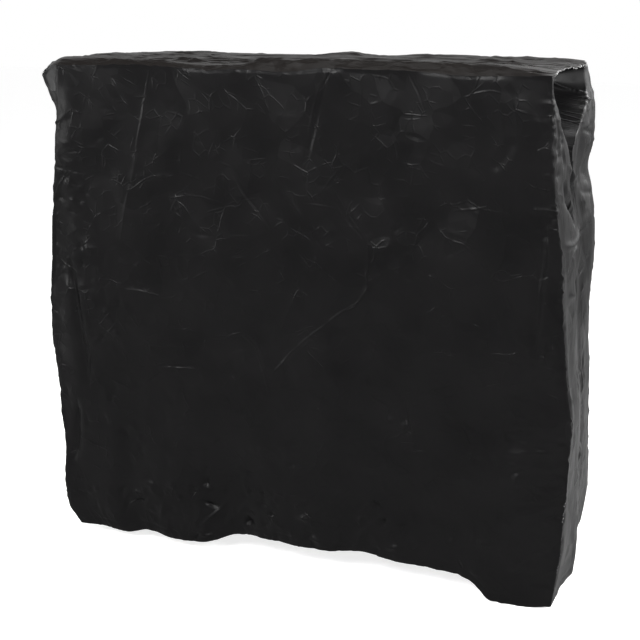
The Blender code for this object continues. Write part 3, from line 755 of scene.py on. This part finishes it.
add_wall(FRONT, "front_cloth", "front_panel", LONG_COLUMNS, LONG_ROWS, FRONT_CREASES,
         FRONT_CRUMPLES, FRONT_BILLOWS, front_finish)

# ---- Right end panel: the end wall at the right, one cut of the same thin cloth, sewn between the
# front, the back and the top. Its spare cloth is pushed in between the table's two halves, in a
# deep tuck below the top seam. Its hem is turned up inside and stitched.
side_finish = cloth_finish("side_black_cloth", "YZ", CLOTH_DARK, CLOTH_LIGHT, gloss=0.09,
                           rough=0.44, stretch=(1.6, 0.8, 1.0), lean=0.13, rise=0.0014)
RIGHT_EDGE = [Edge(0.00, 0.003), Edge(0.15, 0.010), Edge(0.38, 0.008), Edge(0.62, -0.006),
              Edge(0.90, -0.008), Edge(1.00, 0.002)]
RIGHT_HEM = [
    Hem(0.00, 1.640, 0.000), Hem(0.12, 1.636, 0.006), Hem(0.24, 1.636, 0.018),
    Hem(0.34, 1.645, 0.028), Hem(0.44, 1.632, 0.016), Hem(0.58, 1.626, 0.000),
    Hem(0.80, 1.630, -0.004), Hem(1.00, 1.620, 0.000),
]
RIGHT_FOLDS = [
    Fold(0.24, 0.18, 0.008, 0.000), Fold(0.56, 0.16, -0.014, -0.012),
    Fold(0.82, 0.14, 0.008, 0.006),
]
# The tuck at each depth: where its near lip, its bottom and its far lip lie across the wall, and
# how far in its bottom is pushed.
Tuck = namedtuple("Tuck", "depth near gully far push")
LIPS_AT_TOP = (0.05, 0.46, 0.95)
LIPS_LOW = (0.28, 0.50, 0.72)
RIGHT_TUCK = [
    Tuck(0.000, *LIPS_AT_TOP, 0.000),
    Tuck(0.012, 0.010, 0.72, 0.870, 0.140),
    Tuck(0.030, 0.006, 0.71, 0.860, 0.143),
    Tuck(0.055, 0.010, 0.71, 0.855, 0.145),
    Tuck(0.080, 0.045, 0.69, 0.840, 0.147),
    Tuck(0.108, 0.110, 0.64, 0.780, 0.147),
    Tuck(0.147, 0.150, 0.55, 0.660, 0.145),
    Tuck(0.188, 0.220, 0.46, 0.560, 0.120),
    Tuck(0.213, 0.270, 0.40, 0.480, 0.095),
    Tuck(0.250, 0.330, 0.375, 0.410, 0.050),
    Tuck(0.290, 0.360, 0.39, 0.420, 0.026),
    Tuck(0.420, 0.380, 0.46, 0.540, 0.008),
    Tuck(0.660, 0.380, 0.50, 0.620, 0.000),
    Tuck(0.900, *LIPS_LOW, 0.000),
]
RIGHT = Wall("front_right", "back_right", (1, 0, 0), RIGHT_EDGE, RIGHT_HEM, RIGHT_FOLDS, RIGHT_TUCK,
             0.74, (0.82, 1.66))
# On the end walls a crease's route is over (y, z).
RIGHT_CREASES = [
    Crease(0.012, 0.014, 1.4, [(-0.15, -0.275), (0.013, -0.357), (0.121, -0.439), (0.152, -0.511)]),
    Crease(-0.032, 0.018, 1.8, [(-0.215, -0.304), (-0.189, -0.368), (-0.105, -0.422), (-0.049, -0.486)]),
    Crease(-0.0035, 0.006, 1.3, [(0.035, -0.383), (0.169, -0.411), (0.338, -0.439)]),
    Crease(-0.012, 0.006, 1.1, [(0.106, -0.512), (-0.011, -0.535), (-0.116, -0.545), (-0.198, -0.575),
                                (-0.297, -0.61)]),
    Crease(0.008, 0.01, 1.5, [(-0.324, -0.487), (-0.21, -0.513), (-0.074, -0.522), (0.067, -0.505)]),
    Crease(0.006, 0.008, 1.3, [(-0.242, -0.655), (-0.203, -0.671), (-0.161, -0.678)]),
    Crease(-0.007, 0.018, 1.6, [(-0.076, -0.625), (-0.056, -0.721), (-0.086, -0.772)]),
    Crease(0.006, 0.012, 1.3, [(-0.116, -0.706), (-0.144, -0.838)]),
    Crease(-0.006, 0.012, 1.3, [(-0.265, -0.683), (-0.206, -0.73), (-0.184, -0.755)]),
    Crease(0.007, 0.008, 1.2, [(-0.02, -0.98), (0.094, -1.005)]),
    Crease(-0.014, 0.008, 1.2, [(0.1, -1.262), (0.04, -1.278), (-0.054, -1.276), (-0.16, -1.268)]),
    Crease(0.008, 0.01, 1.3, [(0.011, -1.223), (-0.089, -1.219), (-0.136, -1.243)]),
    Crease(-0.01, 0.012, 1.4, [(-0.131, -1.481), (0.094, -1.6)]),
    Crease(-0.008, 0.03, 2.0, [(-0.094, -1.469), (0.031, -1.541)]),
    Crease(0.01, 0.007, 1.2, [(0.205, -0.018), (0.205, -0.06)]),
    Crease(0.014, 0.007, 1.2, [(0.2, -0.05), (0.218, -0.078), (0.235, -0.105)]),
    Crease(0.01, 0.006, 1.2, [(0.205, -0.112), (0.238, -0.122)]),
    Crease(0.008, 0.006, 1.2, [(0.18, -0.118), (0.195, -0.15)]),
    Crease(-0.01, 0.006, 1.2, [(-0.262, -0.15), (-0.25, -0.2), (-0.215, -0.285)]),
    Crease(-0.008, 0.006, 1.2, [(-0.335, -0.19), (-0.322, -0.24), (-0.33, -0.3)]),
    Crease(0.007, 0.007, 1.3, [(-0.35, -0.1), (-0.31, -0.16), (-0.28, -0.23)]),
    Crease(-0.007, 0.006, 1.2, [(0.11, -0.2), (0.2, -0.215), (0.29, -0.235)]),
    Crease(-0.003, 0.008, 1.2, [(0.01, -0.262), (0.12, -0.3), (0.25, -0.345)]),
    Crease(-0.002, 0.01, 1.3, [(0.092, -0.257), (0.191, -0.303), (0.33, -0.342)]),
    Crease(0.004, 0.01, 1.3, [(0.216, -0.181), (0.153, -0.2), (0.192, -0.23)]),
    Crease(-0.003, 0.01, 1.3, [(0.012, -0.294), (0.223, -0.36), (0.297, -0.405)]),
]
RIGHT_CRUMPLES = [
    Crumple(0.24, -0.22, 0.14, 0.18, 70, 0.045, 0.0026, 0.008, 50, 50, 31),
    Crumple(-0.31, -0.25, 0.07, 0.18, 60, 0.040, 0.0030, 0.008, 80, 40, 32),
    Crumple(0.10, -0.50, 0.30, 0.18, 120, 0.050, 0.0030, 0.010, 60, 60, 33),
    Crumple(0.00, -0.85, 0.40, 0.30, 170, 0.090, 0.0028, 0.010, 85, 25, 34),
    Crumple(0.00, -1.30, 0.40, 0.30, 170, 0.090, 0.0028, 0.010, 85, 25, 35),
    Crumple(0.00, -1.05, 0.40, 0.50, 220, 0.050, 0.0020, 0.007, 80, 50, 37),
]
RIGHT_BILLOWS = [Billows(0.30, 0.0014, 36)]
END_ROWS = [Step(0.0, 0.0025), Step(0.03, 0.0040), Step(0.6, 0.0045), Step(0.9, 0.0060),
            Step(1.5, 0.006), Step(1.58, 0.0045), Step(1.61, 0.0035)]
END_COLUMNS = [Step(0.0, 0.0025), Step(0.06, 0.0050), Step(0.68, 0.0050), Step(0.74, 0.0025)]
add_wall(RIGHT, "right_side_cloth", "right_side_panel", END_COLUMNS, END_ROWS, RIGHT_CREASES,
         RIGHT_CRUMPLES, RIGHT_BILLOWS, side_finish)

# ---- Back panel: the wide wall away from the room, one cut of the same cloth as the front, sewn
# to both ends and the top. It hangs calmly, in a few broad folds. Its hem is turned up inside and
# stitched.
BACK_EDGE = [
    Edge(0.00, 0.002), Edge(0.05, 0.008), Edge(0.18, 0.009), Edge(0.33, 0.013),
    Edge(0.44, 0.004), Edge(0.50, 0.014), Edge(0.60, 0.000), Edge(0.75, 0.002),
    Edge(0.89, 0.005), Edge(1.00, -0.003),
]
BACK_HEM = [
    Hem(0.00, 1.620, 0.000), Hem(0.10, 1.600, 0.012), Hem(0.25, 1.588, -0.006),
    Hem(0.42, 1.580, 0.010), Hem(0.58, 1.596, -0.008), Hem(0.72, 1.590, 0.010),
    Hem(0.88, 1.604, -0.004), Hem(1.00, 1.598, 0.000),
]
BACK_FOLDS = [
    Fold(0.18, 0.10, 0.006, 0.012), Fold(0.45, 0.10, -0.005, -0.010),
    Fold(0.74, 0.12, 0.007, 0.012),
]
BACK = Wall("back_right", "back_left", (0, 1, 0), BACK_EDGE, BACK_HEM, BACK_FOLDS, None,
            1.74, (1.76, 1.63))
BACK_COLUMNS = [Step(0.0, 0.003), Step(0.10, 0.010), Step(0.2, 0.012), Step(1.54, 0.012),
                Step(1.64, 0.010), Step(1.74, 0.003)]
BACK_ROWS = [Step(0.0, 0.0025), Step(0.03, 0.006), Step(0.5, 0.010), Step(1.35, 0.012),
             Step(1.5, 0.009), Step(1.58, 0.0045), Step(1.61, 0.0035)]
BACK_CREASES = [
    Crease(-0.006, 0.011, 2.0, [(-0.8, -0.018), (0.0, -0.022), (0.8, -0.018)]),
]
BACK_CRUMPLES = [
    Crumple(-0.40, -0.40, 0.45, 0.35, 110, 0.070, 0.0010, 0.012, 60, 60, 51),
    Crumple(0.40, -0.45, 0.45, 0.40, 110, 0.070, 0.0010, 0.012, 100, 60, 52),
    Crumple(0.00, -1.10, 0.85, 0.50, 180, 0.080, 0.0010, 0.012, 60, 60, 53),
]
BACK_BILLOWS = [Billows(0.32, 0.0036, 54)]
add_wall(BACK, "back_cloth", "back_panel", BACK_COLUMNS, BACK_ROWS, BACK_CREASES,
         BACK_CRUMPLES, BACK_BILLOWS, side_finish)

# ---- Left end panel: the other end wall, cut and sewn as the right one is. Its spare cloth hangs
# in a shallower tuck below the top seam. Its hem is turned up inside and stitched.
LEFT_EDGE = [Edge(0.00, -0.003), Edge(0.50, 0.010), Edge(0.88, -0.003), Edge(1.00, -0.038)]
LEFT_HEM = [
    Hem(0.00, 1.598, 0.000), Hem(0.22, 1.586, 0.016), Hem(0.50, 1.606, -0.006),
    Hem(0.75, 1.600, 0.014), Hem(1.00, 1.620, 0.000),
]
LEFT_FOLDS = [Fold(0.28, 0.18, 0.012, 0.010), Fold(0.62, 0.18, -0.012, -0.010)]
LEFT_TUCK = [
    Tuck(0.00, *LIPS_AT_TOP, 0.000),
    Tuck(0.01, *LIPS_AT_TOP, 0.002),
    Tuck(0.08, 0.08, 0.50, 0.92, 0.045),
    Tuck(0.18, 0.20, 0.50, 0.80, 0.055),
    Tuck(0.32, 0.36, 0.50, 0.66, 0.030),
    Tuck(0.50, *LIPS_LOW, 0.000),
]
LEFT = Wall("back_left", "front_left", (-1, 0, 0), LEFT_EDGE, LEFT_HEM, LEFT_FOLDS, LEFT_TUCK,
            0.74, (0.78, 1.66))
LEFT_CRUMPLES = [
    Crumple(0.00, -0.40, 0.40, 0.30, 120, 0.080, 0.0024, 0.012, 60, 50, 61),
    Crumple(0.00, -0.95, 0.42, 0.35, 130, 0.100, 0.0022, 0.012, 80, 30, 62),
    Crumple(0.00, -1.35, 0.42, 0.30, 110, 0.090, 0.0020, 0.012, 75, 35, 63),
]
LEFT_BILLOWS = [Billows(0.22, 0.0030, 64)]
add_wall(LEFT, "left_side_cloth", "left_side_panel", END_COLUMNS, END_ROWS, [],
         LEFT_CRUMPLES, LEFT_BILLOWS, side_finish)

# ---- Top panel: a long narrow cut of the same cloth, sewn all round to the four walls and drawn
# tight over the upper edges of the table. Its cloth is coloured browner and lighter than the walls'. It
# is finely crinkled along its length, and rises in a low roll behind the front seam.
RIM_REACH = 0.25          # share of the top's width over which its uneven edges die away


def top_shape(across, back):
    """The top's broad shape, stretched between the top edges of the four walls."""
    flat = np.zeros_like(across)
    front, rear = wall_shape(FRONT, across, flat), wall_shape(BACK, 1 - across, flat)
    left, right = wall_shape(LEFT, 1 - back, flat), wall_shape(RIGHT, back, flat)
    one = np.ones_like(across)
    corners = {(x, y): wall_shape(FRONT if y == 0 else BACK, one * (x if y == 0 else 1 - x), flat)
               for x in (0, 1) for y in (0, 1)}
    a, b = across[..., None], back[..., None]
    points = front * (1 - b) + rear * b + left * (1 - a) + right * a
    points -= (corners[0, 0] * (1 - a) + corners[1, 0] * a) * (1 - b)
    points -= (corners[0, 1] * (1 - a) + corners[1, 1] * a) * b
    near_front, near_back = 1 - ease(back / RIM_REACH), 1 - ease((1 - back) / RIM_REACH)
    near_left, near_right = 1 - ease(across / RIM_REACH), 1 - ease((1 - across) / RIM_REACH)
    height = {place: corner[..., 2] for place, corner in corners.items()}
    points[..., 2] = (
        front[..., 2] * near_front + rear[..., 2] * near_back
        + left[..., 2] * near_left + right[..., 2] * near_right
        - near_left * (height[0, 0] * near_front + height[0, 1] * near_back)
        - near_right * (height[1, 0] * near_front + height[1, 1] * near_back))
    return points


# How high the top's cloth rolls up behind the seam that it shares with the front.
ROLL_CREST = 0.032        # how far behind the seam the roll is highest
ROLL_FALL = 0.20          # and how far behind its crest it is gone
FRONT_ROLL = [
    Edge(0.00, 0.000), Edge(0.08, 0.006), Edge(0.20, 0.010), Edge(0.33, 0.014), Edge(0.42, 0.012),
    Edge(0.50, 0.034), Edge(0.60, 0.026), Edge(0.75, 0.026), Edge(0.88, 0.028), Edge(0.96, 0.012),
    Edge(1.00, 0.000),
]
TOP_COLUMNS = [Step(0.0, 0.0025), Step(0.06, 0.0068), Step(1.68, 0.0068), Step(1.74, 0.0025)]
TOP_ROWS = [Step(0.0, 0.0022), Step(0.03, 0.0023), Step(0.71, 0.0023), Step(0.74, 0.0022)]
TOP_CRUMPLES = [
    Crumple(0.00, 0.00, 0.85, 0.36, 420, 0.130, 0.0036, 0.0042, 0, 7, 71),
    Crumple(0.00, -0.25, 0.85, 0.12, 160, 0.100, 0.0030, 0.0042, 0, 9, 72),
    Crumple(-0.55, 0.00, 0.30, 0.36, 220, 0.060, 0.0040, 0.0045, 8, 25, 73),
    Crumple(0.60, 0.10, 0.25, 0.30, 150, 0.060, 0.0036, 0.0045, 15, 30, 74),
    Crumple(0.00, -0.352, 0.85, 0.020, 420, 0.090, 0.0032, 0.0030, 0, 8, 76),
]
TOP_BILLOWS = Billows(0.5, 0.0016, 75)
BILLOW_SQUEEZE = 3        # the top's swellings are this many times as long as they are deep
top_across = spaced(TOP_COLUMNS, FRONT.width) / FRONT.width
top_back = spaced(TOP_ROWS, RIGHT.width) / RIGHT.width
across, back = np.meshgrid(top_across, top_back)
points = top_shape(across, back)
x, y = points[..., 0].copy(), points[..., 1].copy()
height = sum(crumpled(x, y, zone) for zone in TOP_CRUMPLES)
height = height + billowed(x, y * BILLOW_SQUEEZE, TOP_BILLOWS)
from_left, from_right = across * FRONT.width, (1 - across) * FRONT.width
from_front, from_back = back * RIGHT.width, (1 - back) * RIGHT.width
side, rim = np.minimum(from_left, from_right), np.minimum(from_front, from_back)
points[..., 2] += height * ease(side / SEAM_WINDOW) * ease(rim / TOP_WINDOW)
roll = np.sin(np.clip(from_front / ROLL_CREST, 0, 1) * np.pi / 2)
roll = roll * (1 - ease((from_front - ROLL_CREST) / ROLL_FALL))
points[..., 2] += read(FRONT_ROLL, "rise", across) * roll
near_side, near_rim = nearness(side) * crown(from_front), nearness(from_back)
side_out = np.where((across < 0.5)[..., None], (-1.0, 0, 0), (1.0, 0, 0))
points += rounded(near_side, near_rim, (0, 0, 1.0), (side_out, (0, 1.0, 0)))
puckered(points, "front_top", from_left, from_front, FRONT.width)
puckered(points, "back_top", from_left, from_back, FRONT.width)
puckered(points, "left_top", from_front, from_left, RIGHT.width)
puckered(points, "right_top", from_front, from_right, RIGHT.width)
top = panel_object("top_cloth", points, from_left, from_front, True)
TOP_DARK, TOP_LIGHT = (0.0030, 0.0025, 0.0024, 1), (0.0066, 0.0058, 0.0053, 1)
top.data.materials.append(cloth_finish("top_black_cloth", "XY", TOP_DARK, TOP_LIGHT, gloss=0.04,
                                       rough=0.46, stretch=(0.5, 7.0, 1.0), lean=0.18,
                                       rise=0.0012))
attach(top, "root")
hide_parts("top_panel")
